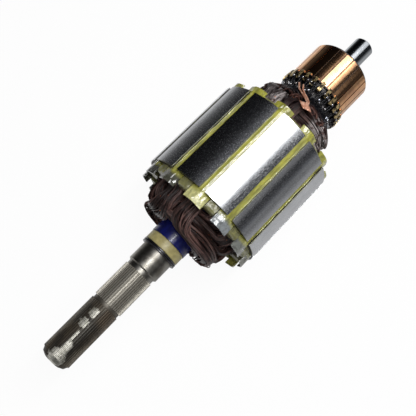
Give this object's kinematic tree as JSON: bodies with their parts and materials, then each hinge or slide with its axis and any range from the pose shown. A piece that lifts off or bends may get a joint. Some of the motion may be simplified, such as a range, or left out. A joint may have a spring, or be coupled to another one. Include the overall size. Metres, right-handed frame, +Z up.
{
  "type": "motor armature",
  "caption": "Wound motor armature with a splined shaft end, slotted steel core, enamelled coils and a copper hook commutator.",
  "frame": {"origin": "on the shaft axis, at the shoulder the drive-end bearing is pressed against", "axes": "+X along the shaft from the splined drive end to the commutator, +Z up with one slot facing straight up and one straight down"},
  "size_m": [0.1985, 0.06, 0.06],
  "materials": {
    "shaft_steel": "turned, part polished",
    "ring_steel": "black oxide, gloss",
    "collar_plastic": "moulded, gloss",
    "sleeve_plastic": "gloss tube",
    "core_steel": "ground steel sheets",
    "plate_plastic": "dull moulding",
    "liner_sheet": "sheet",
    "wedge_sheet": "varnished sheet",
    "coil_wire": "copper wire with dark brown enamel",
    "wrap_wire": "copper wire under black varnish",
    "lead_wire": "copper wire under black varnish",
    "hub_plastic": "black moulding",
    "bush_steel": "plain",
    "bar_copper": "turned copper"
  },
  "bodies": {
    "root": {"shaft": "shaft_steel", "stop_ring": "ring_steel", "spacer_collar": "collar_plastic", "shaft_sleeve": "sleeve_plastic", "lamination_stack": "core_steel", "drive_end_plate": "plate_plastic", "commutator_end_plate": "plate_plastic", "slot_liners": "liner_sheet", "slot_wedge_01": "wedge_sheet", "slot_wedge_02": "wedge_sheet", "slot_wedge_03": "wedge_sheet", "slot_wedge_04": "wedge_sheet", "slot_wedge_05": "wedge_sheet", "slot_wedge_06": "wedge_sheet", "slot_wedge_07": "wedge_sheet", "slot_wedge_08": "wedge_sheet", "slot_wedge_09": "wedge_sheet", "slot_wedge_10": "wedge_sheet", "slot_wedge_11": "wedge_sheet", "slot_wedge_12": "wedge_sheet", "coil_01": "coil_wire", "coil_02": "coil_wire", "coil_03": "coil_wire", "coil_04": "coil_wire", "coil_05": "coil_wire", "coil_06": "coil_wire", "coil_07": "coil_wire", "coil_08": "coil_wire", "coil_09": "coil_wire", "coil_10": "coil_wire", "coil_11": "coil_wire", "coil_12": "coil_wire", "lead_wrap": "wrap_wire", "coil_leads": "lead_wire", "commutator_hub": "hub_plastic", "commutator_bush": "bush_steel", "commutator_bar_01": "bar_copper", "commutator_bar_02": "bar_copper", "commutator_bar_03": "bar_copper", "commutator_bar_04": "bar_copper", "commutator_bar_05": "bar_copper", "commutator_bar_06": "bar_copper", "commutator_bar_07": "bar_copper", "commutator_bar_08": "bar_copper", "commutator_bar_09": "bar_copper", "commutator_bar_10": "bar_copper", "commutator_bar_11": "bar_copper", "commutator_bar_12": "bar_copper", "commutator_bar_13": "bar_copper", "commutator_bar_14": "bar_copper", "commutator_bar_15": "bar_copper", "commutator_bar_16": "bar_copper", "commutator_bar_17": "bar_copper", "commutator_bar_18": "bar_copper", "commutator_bar_19": "bar_copper", "commutator_bar_20": "bar_copper", "commutator_bar_21": "bar_copper", "commutator_bar_22": "bar_copper", "commutator_bar_23": "bar_copper", "commutator_bar_24": "bar_copper"}
  },
  "joints": []
}
